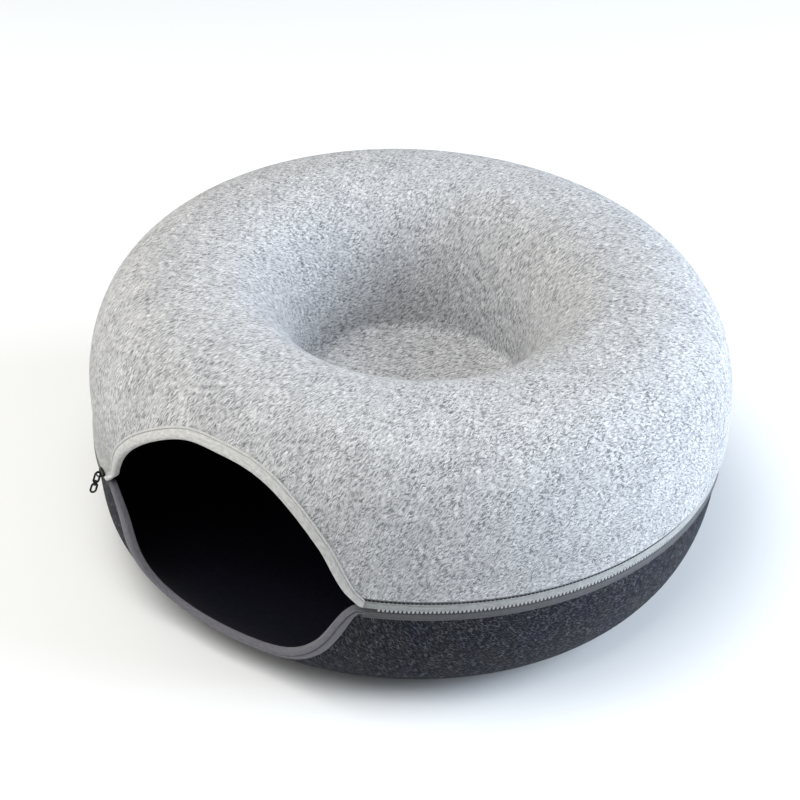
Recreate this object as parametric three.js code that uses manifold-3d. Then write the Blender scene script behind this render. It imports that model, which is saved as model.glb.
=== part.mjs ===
// A round felt cat bed with a tunnel inside its ring, in millimetres, +Z up.
// The mouth of the tunnel faces -Y. The origin is on the floor, at the middle of the bounding box.

import * as THREE from 'three';
import { ParametricGeometry } from 'three/addons/geometries/ParametricGeometry.js';
import { mergeVertices } from 'three/addons/utils/BufferGeometryUtils.js';
import Module from 'manifold-3d';

const wasm = await Module();
wasm.setup();

// Driving dimensions of the ring's outside, in millimetres
const RING_RADIUS = 250;
const WIDEST_HEIGHT = 116;
const CROWN_HEIGHT = 222.5;
const CROWN_RADIUS = 159;
const SHOULDER_POWER = 2.67;
const FELT = 3.5;
const GAP = 0.3;

// The dished seat
const SEAT_RADIUS = 87;
const SEAT_HEIGHT = 117;
const BOWL_POWER = 2.19;
const CREASE_RADIUS = 5;

// The base, whose raised centre carries the seat
const ZIP_HEIGHT = 100;
const BASE_RADIUS = 245.7;
const BASE_POWER = 2.62;
const FOOT_OUTER = 178;
const FOOT_INNER = 128;
const CORE_RADIUS = 87;
const CORE_HEIGHT = SEAT_HEIGHT - 2 * FELT - GAP;

// The lower lip of the mouth bulges outwards a little on its left
const FLARE = 4;
const FLARE_CENTRE = -22;
const FLARE_SPREAD = 34;
const FLARE_TOP = 88;

// Left of the mouth the zip stands out from the ring, and the felt's lip above it is drawn in
const ZIP_PUCKER = { reach: 3.2, centre: -31, spread: 18, foot: 65 };
const LIP_PUCKER = { reach: 2.6, centre: -36, spread: 24, foot: 102.4, full: 108.4, head: 150 };

// The mouth: half its width in degrees round the ring, and its reach above and below the zip
const MOUTH_HALF_ANGLE = 28.3;
const MOUTH_RISE = 91.2;
const MOUTH_DROP = 72.2;
const RISE_POWER = 2.7;
const RISE_TAIL = 0.06;
const RISE_ROUNDING = 0.05;
const DROP_POWER = 4.4;

// The ribbon folded over the mouth's edge
const RIBBON = 1;
const RIBBON_OUTSIDE = 9.5;
const RIBBON_INSIDE = 6;
const RIBBON_SLACK = 0.9;
const RIBBON_LIFT = 0.6;
const RIBBON_STEPS = 56;

// The zip: heights of its pieces above the floor, and their radii; rows are heights from bottom to top
const UPPER_FELT_EDGE = 110;
const LOWER_FELT_EDGE = 98.4;
const UPPER_TAPE = { inner: 244.2, outer: 245.4, rows: [102.3, 104, 105.4, 106.8, 108.4, 122] };
const CHAIN = { inner: 245, outer: 247.6, rows: [98.7, 102] };
const LOWER_TAPE = { inner: 246.05, outer: 247.25, rows: [93.3, 98.4] };
const TAPE_START = 28.9;
const SLIDER_START = 28.9;
const CHAIN_END = 29.6;

// How finely the round shapes are stepped
const MOUTH_SLICES = 28;
const RING_SLICES = 44;
const EDGE_ROW = 0.06;

const degrees = Math.PI / 180;

// Small helpers for curves

// A value on a list of stops, for a share from 0 to 1 of the whole list
function along(stops, share) {
  const place = share * (stops.length - 1);
  const i = Math.min(Math.max(Math.floor(place), 0), stops.length - 2);
  return stops[i] + (stops[i + 1] - stops[i]) * (place - i);
}

// count + 1 evenly spaced values from one number to another
function spaced(from, to, count) {
  return Array.from({ length: count + 1 }, (_, i) => from + ((to - from) * i) / count);
}

// A quarter of a superellipse from (r0, z0), where it runs level, to (r1, z1), where it stands upright
function quarter(r0, z0, r1, z1, power, count = 60) {
  return spaced(0, Math.PI / 2, count).map((t) => [
    r0 + (r1 - r0) * Math.sin(t) ** (2 / power),
    z1 + (z0 - z1) * Math.cos(t) ** (2 / power),
  ]);
}

// A quarter circle that rounds the crease between an upright wall and a level disc
function crease(radius, height, rise, count = 12) {
  return spaced(0, Math.PI / 2, count).map((t) => [
    radius - CREASE_RADIUS * (1 - Math.cos(t)),
    height + rise * CREASE_RADIUS * (1 - Math.sin(t)),
  ]);
}

// The outer surface's section, as a line of [radius, height] points measured by its length from the zip.
// side is 1 where the felt's outer face is to the right of the line's way, and -1 where it is to the left.
class Meridian {
  constructor(points, side) {
    const apart = (p, q) => Math.hypot(p[0] - q[0], p[1] - q[1]) > 1e-6;
    this.points = points.filter((p, i) => i === 0 || apart(p, points[i - 1]));
    this.side = side;
    this.lengths = [0];
    for (let i = 1; i < this.points.length; i += 1) {
      const [r0, z0] = this.points[i - 1];
      const [r1, z1] = this.points[i];
      this.lengths.push(this.lengths[i - 1] + Math.hypot(r1 - r0, z1 - z0));
    }
    this.total = this.lengths[this.lengths.length - 1];
  }

  // Radius and height at a length from the zip
  place(length) {
    const s = Math.min(Math.max(length, 0), this.total);
    let i = 1;
    while (i < this.lengths.length - 1 && this.lengths[i] < s) i += 1;
    const share = (s - this.lengths[i - 1]) / (this.lengths[i] - this.lengths[i - 1]);
    const [r0, z0] = this.points[i - 1];
    const [r1, z1] = this.points[i];
    return [r0 + (r1 - r0) * share, z0 + (z1 - z0) * share];
  }

  // Radius and height of a point that lies out from the outer face, along the face's normal
  off(length, out) {
    const reach = 2;
    const [ra, za] = this.place(length - reach);
    const [rb, zb] = this.place(length + reach);
    const size = Math.hypot(rb - ra, zb - za);
    const [r, z] = this.place(length);
    const atAxis = length > this.total - 1e-6;
    const lean = atAxis ? 0 : (this.side * (zb - za)) / size;
    const lift = atAxis ? this.side : (-this.side * (rb - ra)) / size;
    return [r + out * lean, z + out * lift];
  }

  // Length from the zip at which the line first reaches a height
  lengthAtHeight(height) {
    for (let i = 1; i < this.points.length; i += 1) {
      const z0 = this.points[i - 1][1];
      const z1 = this.points[i][1];
      if ((z0 - height) * (z1 - height) <= 0 && z0 !== z1) {
        return this.lengths[i - 1] + ((height - z0) / (z1 - z0)) * (this.lengths[i] - this.lengths[i - 1]);
      }
    }
    throw new Error('the section never reaches that height');
  }

  // Length from the zip of the point nearest to a radius and height
  lengthNear(radius, height) {
    const distances = this.points.map(([r, z]) => Math.hypot(r - radius, z - height));
    return this.lengths[distances.indexOf(Math.min(...distances))];
  }
}

// The top's outer face: up from the zip, over the crown, down the bowl and in along the seat
const topMeridian = new Meridian(
  [
    [RING_RADIUS - 1.2, ZIP_HEIGHT],
    [RING_RADIUS - 0.4, ZIP_HEIGHT + 8],
    ...quarter(CROWN_RADIUS, CROWN_HEIGHT, RING_RADIUS, WIDEST_HEIGHT, SHOULDER_POWER).reverse(),
    ...quarter(CROWN_RADIUS, CROWN_HEIGHT, SEAT_RADIUS, SEAT_HEIGHT + CREASE_RADIUS, BOWL_POWER),
    ...crease(SEAT_RADIUS, SEAT_HEIGHT, 1),
    [0, SEAT_HEIGHT],
  ],
  1,
);

// The base's outer face: down from the zip, under the foot, up round the core and in under the seat
const baseMeridian = new Meridian(
  [
    ...quarter(FOOT_OUTER, 0, BASE_RADIUS, ZIP_HEIGHT, BASE_POWER).reverse(),
    ...quarter(FOOT_INNER, 0, CORE_RADIUS, CORE_HEIGHT - CREASE_RADIUS, BASE_POWER),
    ...crease(CORE_RADIUS, CORE_HEIGHT, -1),
    [0, CORE_HEIGHT],
  ],
  -1,
);

// A hump of height 1 at one angle, down to 0 at a spread in degrees to both sides
function hump(angle, centre, spread) {
  const turn = ((((angle - centre + 180) % 360) + 360) % 360) - 180;
  return Math.cos((Math.min(Math.abs(turn) / spread, 1) * Math.PI) / 2) ** 2;
}

// 1 on the ring's outer wall, 0 on the walls of the seat and the core
function onOuterWall(radius) {
  return THREE.MathUtils.clamp((radius - FOOT_INNER) / (FOOT_OUTER - FOOT_INNER), 0, 1);
}

// How far the lower lip bulges outwards, at an angle from the mouth's middle, a radius and a height
function flare(angle, radius, height) {
  const up = THREE.MathUtils.clamp(height / FLARE_TOP, 0, 1);
  return FLARE * onOuterWall(radius) * hump(angle, FLARE_CENTRE, FLARE_SPREAD) * Math.sin(up * Math.PI) ** 2;
}

// How far the ring's wall stands out beside the mouth: the zip out, the lip above it in
function pucker(angle, radius, height) {
  const { smoothstep } = THREE.MathUtils;
  const lip = smoothstep(height, LIP_PUCKER.foot, LIP_PUCKER.full);
  const out = ZIP_PUCKER.reach * smoothstep(height, ZIP_PUCKER.foot, ZIP_HEIGHT - 2) * (1 - lip);
  const inward = LIP_PUCKER.reach * lip * (1 - smoothstep(height, LIP_PUCKER.full, LIP_PUCKER.head));
  const zipHump = hump(angle, ZIP_PUCKER.centre, ZIP_PUCKER.spread);
  const lipHump = hump(angle, LIP_PUCKER.centre, LIP_PUCKER.spread);
  return onOuterWall(radius) * (out * zipHump - inward * lipHump);
}

// A point of the bed: angle in degrees from the mouth's middle, radius and height
function spot(angle, radius, height, target = new THREE.Vector3()) {
  const turn = (angle - 90) * degrees;
  const reach = radius + pucker(angle, radius, height);
  return target.set(reach * Math.cos(turn), reach * Math.sin(turn), height);
}

// A point on or off the top's or the base's outer face
function onTop(angle, length, out, target) {
  const [r, z] = topMeridian.off(length, out);
  return spot(angle, r, z, target);
}

function onBase(angle, length, out, target) {
  const [r, z] = baseMeridian.off(length, out);
  return spot(angle, r + flare(angle, r, z), z, target);
}

// The mouth's outline, as heights above and below the zip at an angle from its middle.
// Above, 1 - |x|^p is rounded off where it comes down to the zip; below, (1 - |x|^q)^2 meets the zip level.
function rounded(value) {
  return (value + Math.hypot(value, RISE_ROUNDING)) / 2;
}

function mouthRise(angle) {
  const x = Math.min(Math.abs(angle) / MOUTH_HALF_ANGLE, 1);
  const bare = (1 + RISE_TAIL) * (1 - x ** RISE_POWER) - RISE_TAIL;
  return MOUTH_RISE * (rounded(bare) - rounded(-RISE_TAIL));
}

function mouthDrop(angle) {
  const x = Math.min(Math.abs(angle) / MOUTH_HALF_ANGLE, 1);
  return MOUTH_DROP * (1 - x ** DROP_POWER) ** 2;
}

// The mouth's edge as a length along each section
function upperEdge(angle) {
  return topMeridian.lengthAtHeight(ZIP_HEIGHT + GAP + mouthRise(angle));
}

function lowerEdge(angle) {
  return baseMeridian.lengthAtHeight(ZIP_HEIGHT - GAP - mouthDrop(angle));
}

// The felt's edge: the zip's edge all round, and in the mouth the outline with room for the ribbon
function feltEdge(angle, zipEdge, edge) {
  if (Math.abs(angle) >= MOUTH_HALF_ANGLE) return zipEdge;
  const step = 0.2;
  const arc = BASE_RADIUS * degrees * step;
  const slope = (edge(Math.abs(angle)) - edge(Math.abs(angle) - step)) / arc;
  return Math.max(zipEdge, edge(angle) + (RIBBON + RIBBON_SLACK) * Math.hypot(1, slope));
}

// Angles round the ring, finer across the mouth and finest at its corners
const mouthStops = spaced(-90, 90, MOUTH_SLICES).map((t) => MOUTH_HALF_ANGLE * Math.sin(t * degrees));
const ringStops = spaced(MOUTH_HALF_ANGLE, 360 - MOUTH_HALF_ANGLE, RING_SLICES);
const angles = [...mouthStops, ...ringStops.slice(1)];

// Finishing a geometry: shared corners merged, collapsed faces dropped, faces turned outwards
function finished(geometry) {
  const bare = geometry.clone();
  bare.deleteAttribute('normal');
  bare.deleteAttribute('uv');
  const merged = mergeVertices(bare, 1e-3);
  const index = merged.index.array;
  const kept = [];
  for (let i = 0; i < index.length; i += 3) {
    const [a, b, c] = [index[i], index[i + 1], index[i + 2]];
    if (a !== b && b !== c && c !== a) kept.push(a, b, c);
  }
  const p = merged.getAttribute('position');
  const corner = (i) => new THREE.Vector3().fromBufferAttribute(p, i);
  let volume = 0;
  for (let i = 0; i < kept.length; i += 3) {
    volume += corner(kept[i]).dot(corner(kept[i + 1]).cross(corner(kept[i + 2]))) / 6;
  }
  if (volume < 0) {
    for (let i = 0; i < kept.length; i += 3) [kept[i + 1], kept[i + 2]] = [kept[i + 2], kept[i + 1]];
  }
  merged.setIndex(kept);
  merged.computeVertexNormals();
  return merged;
}

// Moves each point of a geometry to a new place
function warped(geometry, place) {
  const p = geometry.getAttribute('position');
  const target = new THREE.Vector3();
  for (let i = 0; i < p.count; i += 1) {
    place(p.getX(i), p.getY(i), p.getZ(i), target);
    p.setXYZ(i, target.x, target.y, target.z);
  }
  return geometry;
}

// A felt shell: a closed loop out along its outer face and back along its inner face, carried round the ring.
// marks are the lengths of the section's main points after the edge, the last of them on the axis.
// outerRows and innerRows say how many steps lie between two marks. EDGE_ROW adds a row close to the edge.
function feltShell(onFace, marks, outerRows, innerRows, edgeAt) {
  const stations = (rows) => [0, EDGE_ROW, ...rows.flatMap((count, k) => spaced(k, k + 1, count).slice(1))];
  const outer = stations(outerRows);
  const inner = stations(innerRows).reverse();
  const station = [...outer, ...inner, 0];
  const depth = [...outer.map(() => 0), ...inner.map(() => -FELT), 0];
  const surface = (u, v, target) => {
    const angle = along(angles, u);
    const edge = edgeAt(angle);
    const length = along([edge, ...marks], along(station, v) / marks.length);
    onFace(angle, length, along(depth, v), target);
  };
  return finished(new ParametricGeometry(surface, angles.length - 1, station.length - 1));
}

const zipEdgeOfTop = topMeridian.lengthAtHeight(UPPER_FELT_EDGE);
const zipEdgeOfBase = baseMeridian.lengthAtHeight(LOWER_FELT_EDGE);

function topShell() {
  const marks = [
    topMeridian.lengthNear(CROWN_RADIUS, CROWN_HEIGHT),
    topMeridian.lengthNear(SEAT_RADIUS, SEAT_HEIGHT + CREASE_RADIUS),
    topMeridian.lengthNear(SEAT_RADIUS - CREASE_RADIUS, SEAT_HEIGHT),
    topMeridian.total,
  ];
  const edgeAt = (angle) => feltEdge(angle, zipEdgeOfTop, upperEdge);
  return feltShell(onTop, marks, [12, 9, 2, 2], [8, 5, 2, 1], edgeAt);
}

function baseShell() {
  const marks = [
    baseMeridian.lengthNear(FOOT_OUTER, 0),
    baseMeridian.lengthNear(FOOT_INNER, 0),
    baseMeridian.lengthNear(CORE_RADIUS, CORE_HEIGHT - CREASE_RADIUS),
    baseMeridian.lengthNear(CORE_RADIUS - CREASE_RADIUS, CORE_HEIGHT),
    baseMeridian.total,
  ];
  const edgeAt = (angle) => feltEdge(angle, zipEdgeOfBase, lowerEdge);
  return feltShell(onBase, marks, [8, 1, 6, 2, 1], [7, 1, 4, 2, 1], edgeAt);
}

// The section of the ribbon folded over the felt's edge, as (into the felt, out from its outer face) points
function ribbonSection() {
  const outerFace = RIBBON_LIFT + RIBBON;
  const innerFace = -FELT - RIBBON_SLACK - RIBBON;
  const round = RIBBON * 0.9;
  return new THREE.Shape([
    new THREE.Vector2(0, innerFace + round),
    new THREE.Vector2(round, innerFace),
    new THREE.Vector2(RIBBON_INSIDE, innerFace),
    new THREE.Vector2(RIBBON_INSIDE, innerFace + RIBBON),
    new THREE.Vector2(RIBBON, innerFace + RIBBON),
    new THREE.Vector2(RIBBON, outerFace - RIBBON),
    new THREE.Vector2(RIBBON_OUTSIDE, outerFace - RIBBON),
    new THREE.Vector2(RIBBON_OUTSIDE, outerFace),
    new THREE.Vector2(round, outerFace),
    new THREE.Vector2(0, outerFace - round),
  ]);
}

// A ribbon carried along the mouth's edge: each section point goes square to the edge, over the face
function mouthBinding(onFace, edge) {
  const plain = { depth: 1, steps: RIBBON_STEPS, bevelEnabled: false };
  const strip = new THREE.ExtrudeGeometry(ribbonSection(), plain);
  const step = 0.1;
  const arc = BASE_RADIUS * degrees;
  return finished(
    warped(strip, (into, out, share, target) => {
      const angle = MOUTH_HALF_ANGLE * Math.sin((share - 0.5) * Math.PI);
      const before = Math.max(angle - step, -MOUTH_HALF_ANGLE);
      const after = Math.min(angle + step, MOUTH_HALF_ANGLE);
      const run = (after - before) * arc;
      const rise = edge(after) - edge(before);
      const size = Math.hypot(run, rise);
      const sideways = (-into * rise) / size / arc;
      const length = edge(angle) + (into * run) / size;
      onFace(angle + sideways, length, out, target);
    }),
  );
}

// A band that runs round the ring with the zip, between two angles from the mouth's middle
function zipBand({ inner, outer, rows }, start, end) {
  const stops = [start, ...ringStops.slice(1, -1), end];
  const band = new THREE.BoxGeometry(1, 1, 1, 1, rows.length - 1, RING_SLICES).translate(0.5, 0.5, 0.5);
  return finished(
    warped(band, (out, up, round, target) => {
      spot(along(stops, round), inner + (outer - inner) * out, along(rows, up), target);
    }),
  );
}

// Joins closed geometries into one solid
function joined(...geometries) {
  const solids = geometries.map((geometry) => {
    const done = finished(geometry);
    const mesh = new wasm.Mesh({
      numProp: 3,
      vertProperties: done.getAttribute('position').array,
      triVerts: new Uint32Array(done.index.array),
    });
    return new wasm.Manifold(mesh);
  });
  const { vertProperties, triVerts } = solids.reduce((a, b) => a.add(b)).getMesh();
  const geometry = new THREE.BufferGeometry();
  geometry.setAttribute('position', new THREE.BufferAttribute(vertProperties, 3));
  geometry.setIndex(new THREE.BufferAttribute(triVerts, 1));
  return finished(geometry);
}

// The slider, drawn looking down: x runs along the zip away from the mouth, y out from the ring's axis
const SLIDER = { length: 11, frontInner: 248, frontOuter: 249.8, backInner: 242.1, backOuter: 243.9 };
const PLATE_WIDTH = 8.4;
const NECK = { length: 2.2, width: 3.1 };
const BRIDGE = { start: 2.4, end: 8.6, width: 1.6, inner: 252.3, outer: 253.5 };
const SLIDER_HEIGHT = (CHAIN.rows[0] + CHAIN.rows[1]) / 2;

// A rectangle with its corners cut, from (x0, y0) to (x1, y1)
function cutRectangle(x0, y0, x1, y1, cut) {
  return [
    [x0 + cut, y0],
    [x1 - cut, y0],
    [x1, y0 + cut],
    [x1, y1 - cut],
    [x1 - cut, y1],
    [x0 + cut, y1],
    [x0, y1 - cut],
    [x0, y0 + cut],
  ].map(([x, y]) => new THREE.Vector2(x, y));
}

// A shape extruded evenly to both sides of its plane
function slab(shape, depth) {
  const solid = new THREE.ExtrudeGeometry(shape, { depth, bevelEnabled: false, curveSegments: 8 });
  return solid.translate(0, 0, -depth / 2);
}

function slider() {
  const { length, frontInner, frontOuter, backInner, backOuter } = SLIDER;
  const overlap = 0.5;
  const cut = 0.6;
  const front = new THREE.Shape(cutRectangle(0, frontInner, length, frontOuter, cut));
  const back = new THREE.Shape(cutRectangle(0, backInner, length, backOuter, cut));
  const neck = new THREE.Shape(cutRectangle(0, backInner + overlap, NECK.length, frontOuter - overlap, cut));
  const { start, end, inner, outer } = BRIDGE;
  const bridge = new THREE.Shape(cutRectangle(start, frontOuter - overlap, end, outer, cut));
  const thick = outer - inner;
  const eye = cutRectangle(start + thick, frontOuter, end - thick, inner, cut);
  bridge.holes.push(new THREE.Path(eye));
  const middle = [back, neck].map((shape) => slab(shape, NECK.width));
  return joined(slab(front, PLATE_WIDTH), ...middle, slab(bridge, BRIDGE.width));
}

// The pull: a long wire link round the bridge, a short shank and an oval ring, cut from one plate here
const PULL = {
  thick: 1.3,
  wire: 1.1,
  linkLength: 10,
  linkWidth: 5.2,
  shank: 2,
  ringLength: 8.5,
  ringWidth: 5,
};
const PULL_LEAN = 17;
const PULL_ALONG = 5.5;

function oval(width, length, wire) {
  const straight = length - width;
  const outline = (half) => (path) => {
    path.absarc(0, 0, half, 0, Math.PI, false);
    path.absarc(0, -straight, half, Math.PI, 2 * Math.PI, false);
    path.closePath();
    return path;
  };
  const shape = outline(width / 2)(new THREE.Shape());
  shape.holes.push(outline(width / 2 - wire)(new THREE.Path()));
  return slab(shape, PULL.thick);
}

function pull() {
  const link = oval(PULL.linkWidth, PULL.linkLength, PULL.wire);
  const linkEnd = -(PULL.linkLength - PULL.linkWidth / 2);
  const ringTop = linkEnd - PULL.shank + 2 * 0.4;
  const ring = oval(PULL.ringWidth, PULL.ringLength, PULL.wire).translate(0, ringTop - PULL.ringWidth / 2, 0);
  const shank = new THREE.BoxGeometry(1.8, PULL.shank, PULL.thick);
  shank.translate(0, linkEnd - PULL.shank / 2 + 0.4, 0);
  return joined(link, ring, shank);
}

// Materials

function finish(color, roughness, metalness = 0) {
  return new THREE.MeshStandardMaterial({ color, roughness, metalness });
}

const paleFelt = finish(0xb9bbbd, 0.95);
const darkFelt = finish(0x34353d, 0.95);
const paleRibbon = finish(0xb0b0b2, 0.8);
const greyRibbon = finish(0x77757c, 0.8);
const tapeCloth = finish(0x9a9ea0, 0.85);
const toothPlastic = finish(0xc4c8ca, 0.45);
const darkMetal = finish(0x1c1c1e, 0.35, 0.9);

// The bed

const bed = new THREE.Group();

function addPiece(name, geometry, material, parent = bed) {
  const mesh = new THREE.Mesh(geometry, material);
  mesh.name = name;
  parent.add(mesh);
  return mesh;
}

addPiece('top_shell', topShell(), paleFelt);
addPiece('base_shell', baseShell(), darkFelt);
addPiece('mouth_binding_upper', mouthBinding(onTop, upperEdge), paleRibbon);
addPiece('mouth_binding_lower', mouthBinding(onBase, lowerEdge), greyRibbon);
addPiece('zip_tape_upper', zipBand(UPPER_TAPE, TAPE_START, 360 - TAPE_START), tapeCloth);
addPiece('zip_tape_lower', zipBand(LOWER_TAPE, TAPE_START, 360 - TAPE_START), tapeCloth);
addPiece('zip_chain', zipBand(CHAIN, TAPE_START, 360 - CHAIN_END), toothPlastic);

// The slider's own frame: x along the zip away from the mouth, y out, z up, at the mouth's left corner
const corner = new THREE.Group();
corner.rotation.z = (180 - SLIDER_START) * degrees;
bed.add(corner);
const sliderMesh = addPiece('zip_slider', slider(), darkMetal, corner);
const sliderOut = pucker(-SLIDER_START, CHAIN.outer, SLIDER_HEIGHT);
sliderMesh.position.set(0, sliderOut, SLIDER_HEIGHT);

// The pull hangs in the plane square to the zip, leaning out a little
const hung = new THREE.Group();
hung.position.set(PULL_ALONG, sliderOut + BRIDGE.inner + 0.4, SLIDER_HEIGHT + 0.7);
hung.rotation.x = PULL_LEAN * degrees;
corner.add(hung);
const pullMesh = addPiece('zip_pull', pull(), darkMetal, hung);
pullMesh.rotation.set(Math.PI / 2, 0, Math.PI / 2, 'ZYX');

// The mouth cuts the ring's front away, so the middle of the bounding box lies behind the ring's axis
const box = new THREE.Box3().setFromObject(bed);
bed.position.y = -(box.min.y + box.max.y) / 2;

const part = new THREE.Group();
part.add(bed);

export default part;
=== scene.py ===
"""A round felt bed for a cat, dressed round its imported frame: felt, ribbons, zip, stage. Metres, +Z up."""

import math
from collections import namedtuple

import bpy
import numpy as np
from bpy.props import FloatProperty, FloatVectorProperty, PointerProperty
from mathutils import Matrix, Vector


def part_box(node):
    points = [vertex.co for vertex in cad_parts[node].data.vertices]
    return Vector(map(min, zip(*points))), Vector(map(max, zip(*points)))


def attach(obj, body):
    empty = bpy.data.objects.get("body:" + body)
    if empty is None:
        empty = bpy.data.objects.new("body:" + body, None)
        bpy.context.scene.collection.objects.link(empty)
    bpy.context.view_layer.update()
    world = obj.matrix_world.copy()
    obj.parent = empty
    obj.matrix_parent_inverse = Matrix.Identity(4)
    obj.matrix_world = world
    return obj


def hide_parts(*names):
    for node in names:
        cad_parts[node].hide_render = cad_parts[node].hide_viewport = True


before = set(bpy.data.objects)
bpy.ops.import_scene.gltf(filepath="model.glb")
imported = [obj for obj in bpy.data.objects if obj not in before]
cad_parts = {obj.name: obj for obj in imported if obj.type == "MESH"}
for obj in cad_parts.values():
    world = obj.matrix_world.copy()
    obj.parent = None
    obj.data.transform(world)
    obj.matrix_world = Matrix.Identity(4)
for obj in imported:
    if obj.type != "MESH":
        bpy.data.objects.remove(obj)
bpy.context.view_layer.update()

bl_info = {
    "name": "Cat tunnel bed",
    "version": (1, 0, 0),
    "blender": (4, 5, 0),
    "location": "View3D > Sidebar > Bed",
    "description": "Felt, ribbons, zip and stage of a round cat bed with a tunnel inside its ring",
    "category": "Object",
}

MM = 0.001
TINY = 1e-9

# The ring, as in the frame: its axis stands a little in front of the bounding box's middle
TOP_LOW, TOP_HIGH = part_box("top_shell")
RING_RADIUS = round((TOP_HIGH[0] - TOP_LOW[0]) / 2, 3)
AXIS_Y = TOP_HIGH[1] - RING_RADIUS
CROWN_HEIGHT = TOP_HIGH[2]
WIDEST_HEIGHT = 116 * MM
CROWN_RADIUS = 159 * MM
SHOULDER_POWER = 2.67
FELT = 3.5 * MM

# The top's outer wall leans in towards the zip: [how far in, how far above the zip]
WALL_LEAN = [(1.2 * MM, 0), (0.4 * MM, 8 * MM)]

# The dished seat
SEAT_RADIUS = 87 * MM
SEAT_HEIGHT = 117 * MM
BOWL_POWER = 2.19
CREASE_RADIUS = 5 * MM

# The base and its raised centre
ZIP_HEIGHT = 100 * MM
BASE_RADIUS = 245.7 * MM
BASE_POWER = 2.62
FOOT_OUTER = 178 * MM
FOOT_INNER = 128 * MM
CORE_RADIUS = 87 * MM
CORE_HEIGHT = 109.7 * MM

# The lower lip of the mouth bulges outwards a little on its left: [centre, spread] in degrees round the ring
FLARE = 4 * MM
FLARE_HUMP = (-22, 34)
FLARE_TOP = 88 * MM

# Left of the mouth the zip stands out from the ring, and the felt's lip above it is drawn in
ZIP_OUT = 3.2 * MM
ZIP_OUT_HUMP = (-31, 18)
ZIP_OUT_HEIGHTS = (65 * MM, 98 * MM)
LIP_IN = 2.6 * MM
LIP_IN_HUMP = (-36, 24)
LIP_IN_HEIGHTS = (102.4 * MM, 108.4 * MM, 150 * MM)

# The mouth: half its width in degrees round the ring, and its reach above and below the zip
MOUTH_HALF_ANGLE = 28.3
MOUTH_RISE = 91.2 * MM
MOUTH_DROP = 72.2 * MM
RISE_POWER = 2.7
RISE_TAIL = 0.06
RISE_ROUNDING = 0.05
DROP_POWER = 4.4
EDGE_GAP = 0.3 * MM
RIBBON_ROOM = 1.9 * MM

# Where the mouth's edges leave the plain curves: [reach, angle, spread]
UPPER_SHIFTS = [(-2.6 * MM, -15, 10), (-5.0 * MM, 24.4, 3.6), (3.0 * MM, 28.3, 3)]
LOWER_SHIFTS = [(-5.0 * MM, 24.6, 4.5)]

# Where the upper felt's lip leaves its level: it shows more of the tape beside the slider
LIP_SHIFTS = [(4.5 * MM, -33, 14)]

# The ribbon: its thickness, and how loosely it lies on the felt's inner and outer face
RIBBON = 0.6 * MM
RIBBON_SLACK = 0.25 * MM
RIBBON_LIFT = 0.05 * MM

# The zip
UPPER_FELT_EDGE = 111.8 * MM
LOWER_FELT_EDGE = 98.4 * MM
ZIP_START = 28.3
SLIDER_ANGLE = -28.9

# How finely the shapes are stepped, and how far to both sides of a point its slope is taken
CURVE_STEPS = 160
CREASE_STEPS = 24
MOUTH_STEPS = 150
RING_STEPS = 290
RIBBON_STEPS = 260
BAND_STEPS = 330
SLOPE_TURN = 0.1
SLOPE_REACH = 2 * MM


# Curves and sections


def unit(vectors):
    """Each vector over its own length."""
    return vectors / np.linalg.norm(vectors, axis=-1, keepdims=True)


def lengths_of(line):
    """How far each point of a line lies along it from the first."""
    return np.concatenate([[0], np.cumsum(np.linalg.norm(np.diff(line, axis=0), axis=1))])


def both_faces(line, half):
    """A line in section moved to its right and to its left by half a thickness for each point."""
    ahead = unit(np.gradient(line, axis=0))
    normal = np.column_stack([ahead[:, 1], -ahead[:, 0]])
    return [(line + way * half[:, None] * normal).T for way in (1, -1)]


def ridge(value, height, centre, width):
    """A bell: the height times e to the power of minus the squared distance from the centre in widths."""
    return height * np.exp(-(((value - centre) / width) ** 2))


def signed_power(value, power):
    """The size of a value raised to a power, with the value's sign."""
    return np.sign(value) * np.abs(value) ** power


def oval(wide, high, count):
    """Points round an oval: half its width times the cosine, half its height times the sine."""
    turn = np.linspace(0, 2 * math.pi, count, endpoint=False)
    return np.column_stack([wide * np.cos(turn), high * np.sin(turn)])


def quarter(r0, z0, r1, z1, power):
    """A quarter of a superellipse from (r0, z0), where it runs level, to (r1, z1), where it stands upright:
    the radius goes with sin t to the power 2/p, the height with cos t to the power 2/p."""
    t = np.linspace(0, math.pi / 2, CURVE_STEPS + 1)
    radius = r0 + (r1 - r0) * np.sin(t) ** (2 / power)
    height = z1 + (z0 - z1) * np.cos(t) ** (2 / power)
    return np.column_stack([radius, height])


def crease(radius, height, rise):
    """A quarter circle that rounds the crease between an upright wall and a level disc."""
    t = np.linspace(0, math.pi / 2, CREASE_STEPS + 1)
    across = radius - CREASE_RADIUS * (1 - np.cos(t))
    up = height + rise * CREASE_RADIUS * (1 - np.sin(t))
    return np.column_stack([across, up])


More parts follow.
